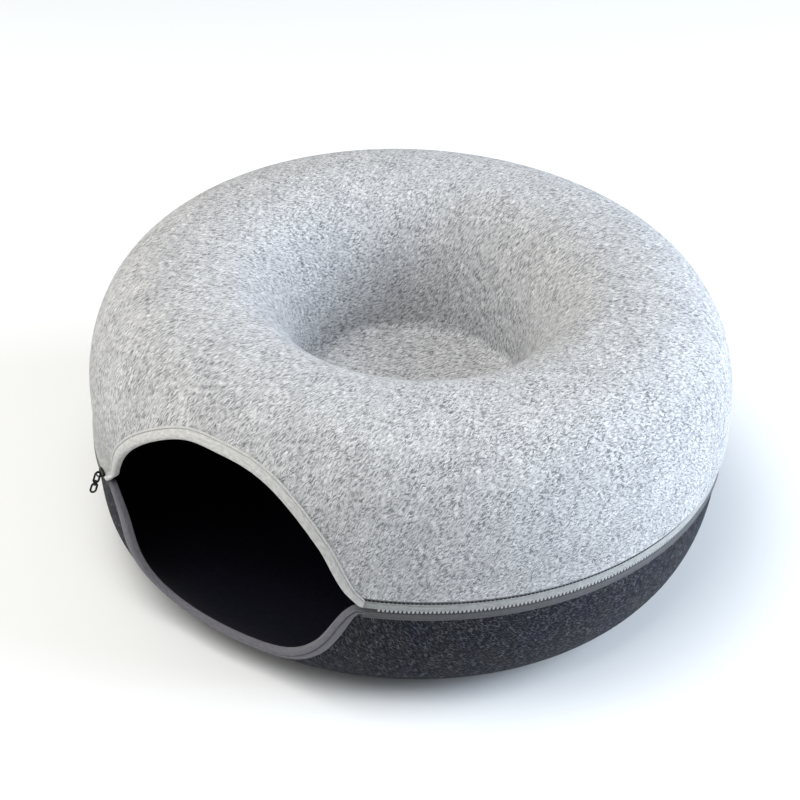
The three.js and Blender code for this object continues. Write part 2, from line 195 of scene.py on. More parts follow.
class Section:
    """A felt's outer face in section: a line of (radius, height) points, measured by its length from the zip.
    side is 1 where the outer face is to the right of the line's way, and -1 where it is to the left."""

    def __init__(self, points, side):
        points = np.vstack(points)
        apart = np.hypot(*np.diff(points, axis=0).T) > TINY
        self.points = points[np.concatenate([[True], apart])]
        steps = np.hypot(*np.diff(self.points, axis=0).T)
        self.lengths = np.concatenate([[0], np.cumsum(steps)])
        self.total = self.lengths[-1]
        self.side = side

    def place(self, length):
        """Radius and height at a length from the zip."""
        return tuple(np.interp(length, self.lengths, column) for column in self.points.T)

    def off(self, length, out):
        """The point that lies out from the outer face along its normal, from two near points of the line."""
        ra, za = self.place(length - SLOPE_REACH)
        rb, zb = self.place(length + SLOPE_REACH)
        size = np.hypot(rb - ra, zb - za)
        r, z = self.place(length)
        at_axis = length > self.total - TINY
        lean = np.where(at_axis, 0, self.side * (zb - za) / size)
        lift = np.where(at_axis, self.side, -self.side * (rb - ra) / size)
        return r + out * lean, z + out * lift

    def length_at(self, height):
        """Length from the zip at which the line first reaches a height, before it turns back."""
        z = self.points[:, 1] * self.side
        turn = int(np.argmax(z)) + 1
        return np.interp(np.asarray(height) * self.side, z[:turn], self.lengths[:turn])


TOP = Section(
    [
        [(RING_RADIUS - inwards, ZIP_HEIGHT + up) for inwards, up in WALL_LEAN],
        quarter(CROWN_RADIUS, CROWN_HEIGHT, RING_RADIUS, WIDEST_HEIGHT, SHOULDER_POWER)[::-1],
        quarter(CROWN_RADIUS, CROWN_HEIGHT, SEAT_RADIUS, SEAT_HEIGHT + CREASE_RADIUS, BOWL_POWER),
        crease(SEAT_RADIUS, SEAT_HEIGHT, 1),
        [(0, SEAT_HEIGHT)],
    ],
    1,
)

BASE = Section(
    [
        quarter(FOOT_OUTER, 0, BASE_RADIUS, ZIP_HEIGHT, BASE_POWER)[::-1],
        quarter(FOOT_INNER, 0, CORE_RADIUS, CORE_HEIGHT - CREASE_RADIUS, BASE_POWER),
        crease(CORE_RADIUS, CORE_HEIGHT, -1),
        [(0, CORE_HEIGHT)],
    ],
    -1,
)


def smoothstep(value, low, high):
    """0 below low, 1 above high, and 3 t squared - 2 t cubed between them."""
    t = np.clip((value - low) / (high - low), 0, 1)
    return t * t * (3 - 2 * t)


def hump(angle, centre, spread):
    """A squared cosine round the ring: 1 at one angle, down to 0 at a spread in degrees to both sides."""
    turn = (angle - centre + 180) % 360 - 180
    return np.cos(np.minimum(np.abs(turn) / spread, 1) * math.pi / 2) ** 2


def shifted(angle, shifts):
    """The sum of humps round the ring, each with its own reach, centre and spread."""
    return sum(reach * hump(angle, centre, spread) for reach, centre, spread in shifts)


def on_outer_wall(radius):
    """1 on the ring's outer wall, 0 on the walls of the bowl and the raised centre."""
    return np.clip((radius - FOOT_INNER) / (FOOT_OUTER - FOOT_INNER), 0, 1)


def flare(angle, radius, height):
    """How far the lower lip bulges out: a squared cosine round the ring times a squared sine up the wall."""
    up = np.clip(height / FLARE_TOP, 0, 1)
    return FLARE * on_outer_wall(radius) * hump(angle, *FLARE_HUMP) * np.sin(up * math.pi) ** 2


def pucker(angle, radius, height):
    """How far the wall stands out beside the mouth: the zip out, the lip above it in, each a hump round the
    ring times smooth steps up the wall."""
    foot, full, head = LIP_IN_HEIGHTS
    lip = smoothstep(height, foot, full)
    out = ZIP_OUT * smoothstep(height, *ZIP_OUT_HEIGHTS) * (1 - lip) * hump(angle, *ZIP_OUT_HUMP)
    inward = LIP_IN * lip * (1 - smoothstep(height, full, head)) * hump(angle, *LIP_IN_HUMP)
    return on_outer_wall(radius) * (out - inward)


def spot(angle, radius, height):
    """Points at an angle in degrees from the mouth's middle, a radius from the ring's axis and a height."""
    turn = np.radians(angle - 90)
    reach = radius + pucker(angle, radius, height)
    x = reach * np.cos(turn)
    y = reach * np.sin(turn) + AXIS_Y
    return np.stack(np.broadcast_arrays(x, y, height), axis=-1)


def on_top(angle, length, out):
    """Points on or off the top's outer face."""
    radius, height = TOP.off(length, out)
    return spot(angle, radius, height)


def on_base(angle, length, out):
    """Points on or off the base's outer face, the flared lip included."""
    radius, height = BASE.off(length, out)
    return spot(angle, radius + flare(angle, radius, height), height)


def rounded(value):
    """(v + the root of v squared and a little squared) / 2: v itself above zero, fading to zero below."""
    return (value + np.hypot(value, RISE_ROUNDING)) / 2


def upper_edge(angle):
    """The mouth's upper outline as a length along the top's section: a rise of 1 - x^p with a soft foot."""
    x = np.minimum(np.abs(angle) / MOUTH_HALF_ANGLE, 1)
    bare = (1 + RISE_TAIL) * (1 - x**RISE_POWER) - RISE_TAIL
    rise = MOUTH_RISE * (rounded(bare) - rounded(-RISE_TAIL)) + shifted(angle, UPPER_SHIFTS)
    return TOP.length_at(ZIP_HEIGHT + EDGE_GAP + rise)


def lower_edge(angle):
    """The mouth's lower outline as a length along the base's section: a depth of (1 - x^q) squared."""
    x = np.minimum(np.abs(angle) / MOUTH_HALF_ANGLE, 1)
    drop = MOUTH_DROP * (1 - x**DROP_POWER) ** 2 + shifted(angle, LOWER_SHIFTS)
    return BASE.length_at(ZIP_HEIGHT - EDGE_GAP - drop)


def upper_lip(angle):
    """The upper felt's lip over the zip as a length along the top's section."""
    return TOP.length_at(UPPER_FELT_EDGE + shifted(angle, LIP_SHIFTS))


def lower_lip(angle):
    """The lower felt's edge under the zip as a length along the base's section, the same all round."""
    return BASE.length_at(LOWER_FELT_EDGE) + 0 * angle


def beside(angle):
    """The angles a little before and a little after one, held inside the mouth."""
    half = MOUTH_HALF_ANGLE
    return np.maximum(angle - SLOPE_TURN, -half), np.minimum(angle + SLOPE_TURN, half)


def felt_edge(angle, lip, edge):
    """The felt's edge: the zip's edge all round, and in the mouth the outline with room for the ribbon."""
    near = np.clip(angle, -MOUTH_HALF_ANGLE, MOUTH_HALF_ANGLE)
    before, after = beside(near)
    slope = (edge(after) - edge(before)) / (BASE_RADIUS * np.radians(after - before))
    inside = edge(near) + RIBBON_ROOM * np.hypot(1, slope)
    return np.where(np.abs(angle) < MOUTH_HALF_ANGLE, np.maximum(lip(angle), inside), lip(angle))


# Meshes


def piece_from(name, points, faces, materials, attributes=None, material_of=None):
    """A mesh object from an array of points and a list of face arrays, with vector attributes per point."""
    loops = [np.asarray(f, dtype=np.int64).reshape(len(f), -1) for f in faces]
    sizes = np.concatenate([np.full(len(f), f.shape[1]) for f in loops])
    corners = np.concatenate([f.ravel() for f in loops])
    mesh = bpy.data.meshes.new(name)
    mesh.vertices.add(len(points))
    mesh.vertices.foreach_set("co", np.asarray(points, dtype=np.float32).ravel())
    mesh.loops.add(len(corners))
    mesh.loops.foreach_set("vertex_index", corners.astype(np.int32))
    mesh.polygons.add(len(sizes))
    mesh.polygons.foreach_set("loop_start", np.concatenate([[0], np.cumsum(sizes)[:-1]]).astype(np.int32))
    mesh.polygons.foreach_set("use_smooth", np.ones(len(sizes), dtype=bool))
    for material in materials:
        mesh.materials.append(material)
    if material_of is not None:
        mesh.polygons.foreach_set("material_index", np.asarray(material_of, dtype=np.int32))
    mesh.update(calc_edges=True)
    for key, values in (attributes or {}).items():
        layer = mesh.attributes.new(key, "FLOAT_VECTOR", "POINT")
        layer.data.foreach_set("vector", np.asarray(values, dtype=np.float32).ravel())
    if mesh.validate():
        raise RuntimeError(f"{name} had faces that had to be mended")
    piece = bpy.data.objects.new(name, mesh)
    bpy.context.scene.collection.objects.link(piece)
    return piece


def quads(rows, columns, round_rows=False):
    """Faces of a grid of points numbered row by row: each row closes on itself, the columns where asked."""
    i = np.arange(rows if round_rows else rows - 1)
    i, j = (a.ravel() for a in np.meshgrid(i, np.arange(columns), indexing="ij"))
    down = (i + 1) % rows
    right = (j + 1) % columns
    return np.column_stack([i * columns + j, i * columns + right, down * columns + right, down * columns + j])


def capped(rows, columns):
    """Faces of a grid of closed rows, of a point joined to its first row and of one joined to its last."""
    j = np.arange(columns)
    k = (j + 1) % columns
    last = (rows - 1) * columns
    near = np.column_stack([k, j, np.full(columns, rows * columns)])
    far = np.column_stack([j + last, k + last, np.full(columns, rows * columns + 1)])
    return [quads(rows, columns), near, far]


def outwards(points, faces):
    """Turns all the faces of a closed mesh round if it encloses a negative volume."""
    volume = 0.0
    for face in faces:
        a = points[face[:, 0]]
        for k in range(1, face.shape[1] - 1):
            volume += np.einsum("ij,ij->i", a, np.cross(points[face[:, k]], points[face[:, k + 1]])).sum()
    return faces if volume > 0 else [face[:, ::-1] for face in faces]


def strip(name, sides, along, line, material):
    """A closed strip: a grid of points on each face, joined round all four rims. Rows run along it, at the
    lengths along, and columns across it, at the points of its section line. Its points keep both lengths
    for the weave. Returns the piece, its length and its width."""
    rows, columns = sides[0].shape[:2]
    points = np.concatenate([sides[0], sides[1][:, ::-1]], axis=1).reshape(-1, 3)
    wide = 2 * columns
    over = np.arange(columns - 1)
    first = np.column_stack([over, over + 1, wide - 2 - over, wide - 1 - over])
    last = (first + (rows - 1) * wide)[:, ::-1]
    faces = outwards(points, [quads(rows, wide), first[:, ::-1], last[:, ::-1]])
    across = lengths_of(line)
    flat = np.stack([*np.meshgrid(along, across, indexing="ij"), np.zeros((rows, columns))], axis=-1)
    both = np.concatenate([flat, flat[:, ::-1] + (0, 0, 1)], axis=1).reshape(-1, 3)
    piece = piece_from(name, points, faces, [material], {"weave": both})
    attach(piece, "root")
    return piece, along[-1], across[-1]


def sweep(name, path, up, section, material):
    """A closed tube: a section of (sideways, upwards) points carried along a closed path, its sideways square
    to the path and to up."""
    tangent = unit(np.roll(path, -1, axis=0) - np.roll(path, 1, axis=0))
    side = unit(np.cross(tangent, up))
    over = np.cross(side, tangent)
    points = path[:, None] + side[:, None] * section[None, :, :1] + over[:, None] * section[None, :, 1:]
    rows, columns = points.shape[:2]
    points = points.reshape(-1, 3)
    return piece_from(name, points, outwards(points, [quads(rows, columns, True)]), [material])


def blob(rows, columns, powers):
    """A superellipsoid of radius 1 with two poles: powers of cosines and sines of latitude and longitude.
    Returns its points and its faces."""
    lat = np.linspace(-math.pi / 2, math.pi / 2, rows + 1)[1:-1]
    lon = np.linspace(0, 2 * math.pi, columns, endpoint=False)
    level = signed_power(np.cos(lat), powers[0])[:, None]
    x = level * signed_power(np.cos(lon), powers[1])[None]
    y = level * signed_power(np.sin(lon), powers[1])[None]
    z = np.broadcast_to(signed_power(np.sin(lat), powers[0])[:, None], x.shape)
    grid = np.stack([x, y, z], axis=-1).reshape(-1, 3)
    return np.vstack([grid, [(0, 0, -1), (0, 0, 1)]]), capped(rows - 1, columns)


def many(name, shape, places, axes, material):
    """Copies of one small shape as one mesh. axes has a 3 by 3 matrix for each place, its columns scaled."""
    points, faces = shape
    all_points = np.einsum("nij,pj->npi", axes, points) + places[:, None]
    shift = np.arange(len(places))[:, None, None] * len(points)
    all_faces = [(face[None] + shift).reshape(-1, face.shape[1]) for face in faces]
    piece = piece_from(name, all_points.reshape(-1, 3), all_faces, [material])
    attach(piece, "root")
    return piece


# Materials


def node(tree, kind, inputs=None, **settings):
    """Adds a node, with its settings, its sockets' values and the sockets that feed it."""
    made = tree.nodes.new(kind)
    for key, value in settings.items():
        setattr(made, key, value)
    for key, value in (inputs or {}).items():
        if isinstance(value, bpy.types.NodeSocket):
            tree.links.new(value, made.inputs[key])
        else:
            made.inputs[key].default_value = value
    return made


def blank_material(name):
    """A new material with its shader, and the tree to add nodes to."""
    material = bpy.data.materials.new(name)
    material.use_nodes = True
    tree = material.node_tree
    return material, tree, tree.nodes["Principled BSDF"]


def maths(tree, operation, *values):
    """One sum, product or other step between values."""
    return node(tree, "ShaderNodeMath", dict(enumerate(values)), operation=operation).outputs[0]


def vectors(tree, operation, inputs):
    """One step between vectors."""
    return node(tree, "ShaderNodeVectorMath", inputs, operation=operation).outputs[0]


def noise(tree, vector, scale, detail, roughness=0.5):
    """Noise whose pattern is drawn out by a scale for each direction."""
    drawn = node(tree, "ShaderNodeMapping", {"Vector": vector, "Scale": scale})
    settings = {"Vector": drawn.outputs[0], "Scale": 1.0, "Detail": detail, "Roughness": roughness}
    return node(tree, "ShaderNodeTexNoise", settings).outputs["Fac"]


def spread(tree, value, low, high, to_low=0.0, to_high=1.0):
    """Maps a value from one range onto another, held at both ends."""
    sockets = {"Value": value, "From Min": low, "From Max": high, "To Min": to_low, "To Max": to_high}
    return node(tree, "ShaderNodeMapRange", sockets).outputs[0]


def blend(tree, share, first, second):
    """A colour between two colours."""
    return node(tree, "ShaderNodeMix", {0: share, 6: first, 7: second}, data_type="RGBA").outputs[2]


def toned(colour, factor):
    """A colour made darker or lighter by a factor, held at 1."""
    return tuple(min(c * factor, 1) for c in colour[:3]) + (1,)


def relief(tree, shader, height, strength, depth):
    """Shades the surface as if it rose and sank with a value by up to a depth."""
    bump = node(tree, "ShaderNodeBump", {"Height": height, "Strength": strength, "Distance": depth})
    tree.links.new(bump.outputs[0], shader.inputs["Normal"])


def hairs(tree, vector, turn, width, length, low, high):
    """Fine fibres that lie at one angle: noise drawn out along them, of which only the peaks are kept."""
    turned = node(tree, "ShaderNodeMapping", {"Vector": vector, "Rotation": (0, 0, math.radians(turn))})
    return spread(tree, noise(tree, turned.outputs[0], (1 / width, 1 / length, 1), 1.0), low, high)


# The fibres' waver and how finely it changes, and how deep the relief of felt and hard materials looks
FIBRE_WAVER = 3 * MM
WAVER_SCALE = 300.0
FIBRE_DEPTH = 0.25 * MM
SPECKLE_DEPTH = 0.1 * MM


def felt_material(name, look, tones, cover, patch, fuzz):
    """Marled felt: a ground colour with dark fibres and pale fibres pressed into it, in patches of a second
    ground colour. The pattern lies on the flat blank that is pressed into the felt. tones are the ground, the
    patches, the dark and the pale fibres; cover says how strongly each of the last two shows."""
    ground, patch_colour, dark, pale = tones
    material, tree, shader = blank_material(name)
    flat = node(tree, "ShaderNodeAttribute", None, attribute_name="blank").outputs["Vector"]
    waver = node(tree, "ShaderNodeTexNoise", {"Vector": flat, "Scale": WAVER_SCALE, "Detail": 1.0})
    centred = vectors(tree, "SUBTRACT", {0: waver.outputs["Color"], 1: (0.5, 0.5, 0.5)})
    offset = vectors(tree, "SCALE", {0: centred, "Scale": FIBRE_WAVER})
    bent = vectors(tree, "ADD", {0: flat, 1: offset})
    wide, long = look.grain_width, look.grain_length
    clouds = spread(tree, noise(tree, flat, (34, 24, 1), 4.0, 0.6), 0.35, 0.65)
    base = blend(tree, spread(tree, clouds, 0, 1, 0, patch), ground, patch_colour)
    first = hairs(tree, bent, 30, wide, long, 0.49, 0.6)
    second = hairs(tree, bent, 2, 0.7 * wide, long, 0.52, 0.62)
    clumps = spread(tree, noise(tree, flat, (90, 60, 1), 3.0, 0.6), 0.35, 0.65, 0.6, 1)
    darkness = maths(tree, "MULTIPLY", clumps, cover[0])
    dark_share = maths(tree, "MULTIPLY", maths(tree, "MAXIMUM", first, second), darkness)
    third = hairs(tree, bent, 16, 0.8 * wide, long, 0.5, 0.62)
    fourth = hairs(tree, bent, 80, 0.5 * wide, long, 0.6, 0.7)
    flecks = spread(tree, noise(tree, flat, (150, 120, 3), 2.0, 0.6), 0.4, 0.6, 0.4, 1)
    paleness = maths(tree, "MULTIPLY", flecks, cover[1])
    pale_share = maths(tree, "MULTIPLY", maths(tree, "MAXIMUM", third, fourth), paleness)
    marled = blend(tree, pale_share, blend(tree, dark_share, base, dark), pale)
    tree.links.new(marled, shader.inputs["Base Color"])
    raised = maths(tree, "SUBTRACT", maths(tree, "ADD", third, fourth), first)
    relief(tree, shader, raised, fuzz, FIBRE_DEPTH)
    tree.links.new(spread(tree, clouds, 0, 1, 0.86, 1.0), shader.inputs["Roughness"])
    shader.inputs["Sheen Weight"].default_value = 0.04
    shader.inputs["Sheen Roughness"].default_value = 0.6
    shader.inputs["Specular IOR Level"].default_value = 0.08
    return material


def woven_material(name, colour, rib_pitch, rib_depth, cross_pitch):
    """Ribbed woven tape: ribs across it and finer threads along it, slightly uneven in tone."""
    material, tree, shader = blank_material(name)
    weave = node(tree, "ShaderNodeAttribute", None, attribute_name="weave").outputs["Vector"]
    split = node(tree, "ShaderNodeSeparateXYZ", {"Vector": weave})
    along = maths(tree, "SINE", maths(tree, "MULTIPLY", split.outputs[0], 2 * math.pi / rib_pitch))
    across = maths(tree, "SINE", maths(tree, "MULTIPLY", split.outputs[1], 2 * math.pi / cross_pitch))
    threads = maths(tree, "MULTIPLY_ADD", across, 0.5, along)
    patches = noise(tree, weave, (220, 600, 1), 2.0, 0.6)
    tone = spread(tree, maths(tree, "MULTIPLY_ADD", threads, 0.07, patches), 0.25, 0.75)
    tree.links.new(blend(tree, tone, toned(colour, 0.74), toned(colour, 1.18)), shader.inputs["Base Color"])
    relief(tree, shader, threads, 0.5, rib_depth)
    tree.links.new(spread(tree, patches, 0.3, 0.7, 0.72, 0.88), shader.inputs["Roughness"])
    shader.inputs["Sheen Weight"].default_value = 0.12
    shader.inputs["Specular IOR Level"].default_value = 0.3
    return material


def speckled_material(name, grain, colours, change, shine, strength):
    """A hard material whose colour, roughness and relief all follow one noise. grain is its scale, detail and
    roughness; change the values between which one colour turns to the other; shine those between which the
    roughness rises, and from what to what. Returns its shader too."""
    material, tree, shader = blank_material(name)
    place = node(tree, "ShaderNodeTexCoord").outputs["Object"]
    uneven = noise(tree, place, (grain[0],) * 3, *grain[1:])
    tree.links.new(blend(tree, spread(tree, uneven, *change), *colours), shader.inputs["Base Color"])
    tree.links.new(spread(tree, uneven, *shine), shader.inputs["Roughness"])
    relief(tree, shader, uneven, strength, SPECKLE_DEPTH)
    return material, shader


def plastic_material(name, colour):
    """Nylon zip teeth: pale and shiny, each a little different."""
    colours = (toned(colour, 0.8), colour)
    return speckled_material(name, (900, 2.0, 0.5), colours, (0.3, 0.7), (0.3, 0.7, 0.3, 0.5), 0.2)[0]


def metal_material(name, colour):
    """Blackened metal, worn to a paler grey in spots."""
    colours = (colour, (0.16, 0.16, 0.17, 1))
    shine = (0.3, 0.8, 0.28, 0.5)
    material, shader = speckled_material(name, (700, 3.0, 0.7), colours, (0.55, 0.75), shine, 0.15)
    shader.inputs["Metallic"].default_value = 0.85
    return material


# Sizes and colours that a user would change


def colour_property(name, description, default):
    """A colour with its name and description, given as a linear colour."""
    return FloatVectorProperty(
        name=name, description=description, default=(*default, 1), size=4, min=0, max=1, subtype="COLOR"
    )


def length_property(name, description, default):
    """A length in metres with its name and description."""
    return FloatProperty(
        name=name, description=description, default=default, min=0, unit="LENGTH", precision=5
    )


def power_property(name, description, default):
    """A light's power in watts with its name and description."""
    return FloatProperty(name=name, description=description, default=default, unit="POWER")


class BED_PG_felt(bpy.types.PropertyGroup):
    """The two felts."""

    top_ground: colour_property("Top ground", "The top felt's ground", (0.54, 0.54, 0.55))
    top_patch: colour_property("Top patches", "The top felt's duller patches", (0.43, 0.43, 0.44))
    top_dark: colour_property("Top dark fibres", "The top felt's darker fibres", (0.10, 0.10, 0.11))
    top_pale: colour_property("Top pale fibres", "The top felt's paler fibres", (0.86, 0.86, 0.86))
    base_ground: colour_property("Base ground", "The base felt's ground", (0.011, 0.0100, 0.0105))
    base_patch: colour_property("Base patches", "The base felt's bluish patches", (0.006, 0.008, 0.019))
    base_dark: colour_property("Base dark fibres", "The base felt's darker fibres", (0.003, 0.003, 0.0035))
    base_pale: colour_property("Base pale fibres", "The base felt's paler fibres", (0.105, 0.108, 0.125))
    # The inner faces' colours are painted shade: near black on both felts, the pale top felt's inside too,
    # for the shade inside the tunnel; on the base they are also the felt's own dark colour
    inside: colour_property("Inside", "The felt's inner faces", (0.006, 0.006, 0.014))
    inside_shade_pale: colour_property("Inside fibres", "The inner faces' paler fibres", (0.012, 0.012, 0.024))
    grain_width: length_property("Grain width", "Width of the felt's fibres on the flat blank", 1.0 * MM)
    grain_length: length_property("Grain length", "Length of the felt's fibres on the flat blank", 4.4 * MM)
    stretch: FloatProperty(name="Stretch", description="How far the felt was drawn out", default=1.25)


class BED_PG_trim(bpy.types.PropertyGroup):
    """Ribbons, zip and slider."""

    upper_ribbon: colour_property("Upper ribbon", "The ribbon on the upper edge", (0.54, 0.535, 0.52))
    lower_ribbon: colour_property("Lower ribbon", "The ribbon on the lower edge", (0.15, 0.145, 0.165))
    upper_tape: colour_property("Upper tape", "The zip's upper tape", (0.37, 0.375, 0.37))
    lower_tape: colour_property("Lower tape", "The zip's lower tape", (0.09, 0.09, 0.095))
    # The coil's back is dark as painted shade: it darkens the gaps between the teeth and a band just below
    # them
    coil_back_shade: colour_property("Coil back", "The coil's dark back behind the teeth", (0.075, 0.075, 0.08))
    # Dark thread for the stitches under the felt's lip: painted shade, a dark line for the lip's shadow on
    # the tape
    seam: colour_property("Seam", "The stitches between the upper felt and its tape", (0.045, 0.045, 0.05))
    teeth: colour_property("Teeth", "The zip's teeth", (0.47, 0.47, 0.47))
    metal: colour_property("Metal", "The slider and its pull", (0.012, 0.012, 0.013))
    upper_thread: colour_property("Upper thread", "The stitches of the upper ribbon", (0.6, 0.6, 0.6))
    lower_thread: colour_property("Lower thread", "The stitches of the lower ribbon", (0.30, 0.30, 0.33))
    pitch: length_property("Pitch", "Distance from tooth to tooth", 3.0 * MM)
    stitch: length_property("Stitch", "Distance from stitch to stitch", 3.2 * MM)


class BED_PG_stage(bpy.types.PropertyGroup):
    """Floor and light."""

    floor: colour_property("Floor", "The floor's colour", (0.86, 0.86, 0.86))
    sky: FloatProperty(name="Sky", description="Strength of the light from all round", default=0.25, min=0)
    right: power_property("Right light", "Power of the low light at the right", 84)
    front: power_property("Front light", "Power of the high light in front", 31)
    left: power_property("Left light", "Power of the low light at the left", 18)
    back: power_property("High light", "Power of the high light at the left", 16)


# The felt

# Rows of points down the outer face, up the inner face and round the cut edge, the power by which they lie
# closer together at the edge, and how far the cut edge is rounded
TOP_ROWS = (130, 60, 6)
BASE_ROWS = (120, 60, 6)
ROWS_POWER = 1.12
EDGE_ROUND = 1.0 * MM

# How strongly the dark and the pale fibres show, how strongly the patches show, and how deep the relief is
TOP_MARL = ((0.88, 0.55), 0.9, 0.5)
INNER_MARL = ((0.5, 0.7), 0.5, 0.4)
BASE_MARL = ((0.8, 0.85), 1.0, 0.6)

# What differs between the two felts
Moulding = namedtuple("Moulding", "on_face section lip edge counts")
TOP_FELT = Moulding(on_top, TOP, upper_lip, upper_edge, TOP_ROWS)
BASE_FELT = Moulding(on_base, BASE, lower_lip, lower_edge, BASE_ROWS)


def felt_shell(name, felt, stretch, materials):
    """A felt moulding as one closed skin: from the middle along its outer face to the edge, round the edge
    in a half circle, and back along its inner face to the middle. The flat blank's radius is the length from
    the middle over the stretch, so the pattern is drawn out along the section."""
    mouth = MOUTH_HALF_ANGLE * np.sin(np.linspace(-math.pi / 2, math.pi / 2, MOUTH_STEPS + 1))
    ring = np.linspace(MOUTH_HALF_ANGLE, 360 - MOUTH_HALF_ANGLE, RING_STEPS + 1)
    angle = np.concatenate([mouth, ring[1:-1]])[None]
    outer, inner, cut = felt.counts
    total = felt.section.total
    turn = np.linspace(0, math.pi, cut + 2)[1:-1]
    to_edge = np.linspace(1, 0, outer + 1)[1:] ** ROWS_POWER
    from_edge = np.linspace(0, 1, inner + 1)[:-1] ** ROWS_POWER
    share = np.concatenate([to_edge, np.zeros(cut), from_edge])[:, None]
    depth = np.concatenate([np.zeros(outer), -FELT / 2 * (1 - np.cos(turn)), np.full(inner, -FELT)])[:, None]
    bulge = np.concatenate([np.zeros(outer), np.sin(turn), np.zeros(inner)])[:, None]
    start = felt_edge((angle + 180) % 360 - 180, felt.lip, felt.edge) + EDGE_ROUND * (1 - bulge)
    length = start + (total - start) * share
    points = felt.on_face(angle, length, depth)
    rows, columns = points.shape[:2]
    blank = (total - length) / stretch
    turned = np.radians(angle - 90)
    layer = np.broadcast_to(depth < -FELT / 2, length.shape)
    flat = np.stack([blank * np.cos(turned), blank * np.sin(turned), layer], axis=-1).reshape(-1, 3)
    middles = [felt.on_face(0, total, 0), felt.on_face(0, total, -FELT)]
    points = np.vstack([points.reshape(-1, 3), middles])
    flat = np.vstack([flat, [(0, 0, 0), (0, 0, 1)]])
    faces = outwards(points, capped(rows, columns))
    # From the cut edge's second ring of faces on, the edge takes the dark inner material: painted shade, a
    # dark line along the felt's edge over the zip
    inward = np.arange(len(faces[0])) >= (outer + 1) * columns
    material_of = np.concatenate([inward, np.zeros(columns), np.ones(columns)])
    return piece_from(name, points, faces, materials, {"blank": flat}, material_of)


def blank_size(felt, stretch):
    """The flat disc that a felt moulding was pressed from: its diameter and its area."""
    radius = float(felt.section.total - felt.lip(180)) / stretch
    return 2 * radius, math.pi * radius**2


class BED_OT_top_felt(bpy.types.Operator):
    """Makes the upper half-ring of pale marled felt with its dished seat"""

    bl_idname = "bed.top_felt"
    bl_label = "Top felt"

    def execute(self, context):
        look = context.scene.bed_felt
        tones = (look.top_ground, look.top_patch, look.top_dark, look.top_pale)
        outside = felt_material("pale_felt", look, tones, *TOP_MARL)
        # The pale top felt's inner face takes the near-black inner colours: painted shade inside the tunnel
        shaded_inside_tones = (look.inside, look.inside, look.inside, look.inside_shade_pale)
        inside = felt_material("inner_felt_painted_shade", look, shaded_inside_tones, *INNER_MARL)
        piece = felt_shell("felt_top", TOP_FELT, look.stretch, [outside, inside])
        across, area = blank_size(TOP_FELT, look.stretch)
        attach(piece, "root")
        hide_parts("top_shell")
        return {"FINISHED"}


class BED_OT_base_felt(bpy.types.Operator):
    """Makes the lower half-ring of charcoal felt with its foot and its raised centre"""

    bl_idname = "bed.base_felt"
    bl_label = "Base felt"

    def execute(self, context):
        look = context.scene.bed_felt
        tones = (look.base_ground, look.base_patch, look.base_dark, look.base_pale)
        outside = felt_material("dark_felt", look, tones, *BASE_MARL)
        # The base's inner face shares the near-black inner material: its own dark felt, darkened further as
        # painted shade
        inside = bpy.data.materials["inner_felt_painted_shade"]
        piece = felt_shell("felt_base", BASE_FELT, look.stretch, [outside, inside])
        across, area = blank_size(BASE_FELT, look.stretch)
        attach(piece, "root")
        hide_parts("base_shell")
        return {"FINISHED"}


# The ribbons

# How far the ribbon reaches in from its fold on the outer and the inner face, how tightly it bends, how far
# from the mouth's corners it begins to narrow, and how far it puffs up again past its groove
RIBBON_OUTSIDE = 9.5 * MM
RIBBON_INSIDE = 2.0 * MM
RIBBON_BEND = 0.8 * MM
TAPER_LENGTH = 24 * MM
PUFF = 0.6

# Points of its section: along the inner face, round each bend and along the outer face
INSIDE_POINTS = 6
BEND_POINTS = 7
OUTSIDE_POINTS = 72

# Its stitches: how far in from the fold, how high, how much of the pitch each takes up, their radius, their
# shape as rows, columns and powers, how far the row reaches towards the corners, and the points of its line
STITCH_INTO = RIBBON_OUTSIDE - 1.1 * MM
STITCH_LIFT = RIBBON_LIFT + RIBBON + 0.1 * MM
STITCH_SHARE = 0.86
STITCH_RADIUS = 0.4 * MM
STITCH_SHAPE = (6, 8, (0.8, 0.8))
STITCHED_SHARE = 0.985
STITCH_LINE_POINTS = 2001

# The two edges of the mouth. taper is the share of the width that is left at its left and right corner, and
# groove is the pressed groove's distance from the fold, its width and its depth
Rim = namedtuple("Rim", "on_face edge taper groove")
UPPER_RIM = Rim(on_top, upper_edge, (0.42, 0.8), (7.4 * MM, 0.5 * MM, 0.6 * MM))
LOWER_RIM = Rim(on_base, lower_edge, (0.42, 0.42), (4.6 * MM, 0.6 * MM, 0.8 * MM))

# The weaves: distance from rib to rib, their depth, and distance from thread to thread
RIBBON_WEAVE = (0.55 * MM, 0.12 * MM, 1.1 * MM)
TAPE_WEAVE = (0.9 * MM, 0.12 * MM, 0.7 * MM)
COIL_WEAVE = (1.5 * MM, 0.2 * MM, 0.8 * MM)
THREAD_WEAVE = (0.8 * MM, 0.05 * MM, 0.3 * MM)


def ribbon_line(at, width, depth):
    """The folded ribbon in section as (into, out) points: in along the inner face, round the felt's edge, and
    out along the outer face, pressed in by a bell along a groove where it is stitched."""
    inner = -FELT - RIBBON_SLACK - RIBBON / 2
    outer = RIBBON_LIFT + RIBBON / 2
    front = RIBBON / 2
    bend = RIBBON_BEND
    turn = np.linspace(0, math.pi / 2, BEND_POINTS)
    inside = [(x, inner) for x in np.linspace(RIBBON_INSIDE, front + bend, INSIDE_POINTS)[:-1]]
    low = np.column_stack([front + bend - bend * np.sin(turn), inner + bend - bend * np.cos(turn)])
    high = np.column_stack([front + bend - bend * np.cos(turn), outer - bend + bend * np.sin(turn)])
    into = np.linspace(front + bend, RIBBON_OUTSIDE, OUTSIDE_POINTS)[1:]
    before = np.sin(np.clip(into / at, 0, 1) * math.pi)
    puffed = depth * before + PUFF * depth * smoothstep(into, at, at + 3 * width)
    outside = np.column_stack([into, outer - ridge(into, depth, at, width) + puffed])
    return np.vstack([inside, low, high, outside])


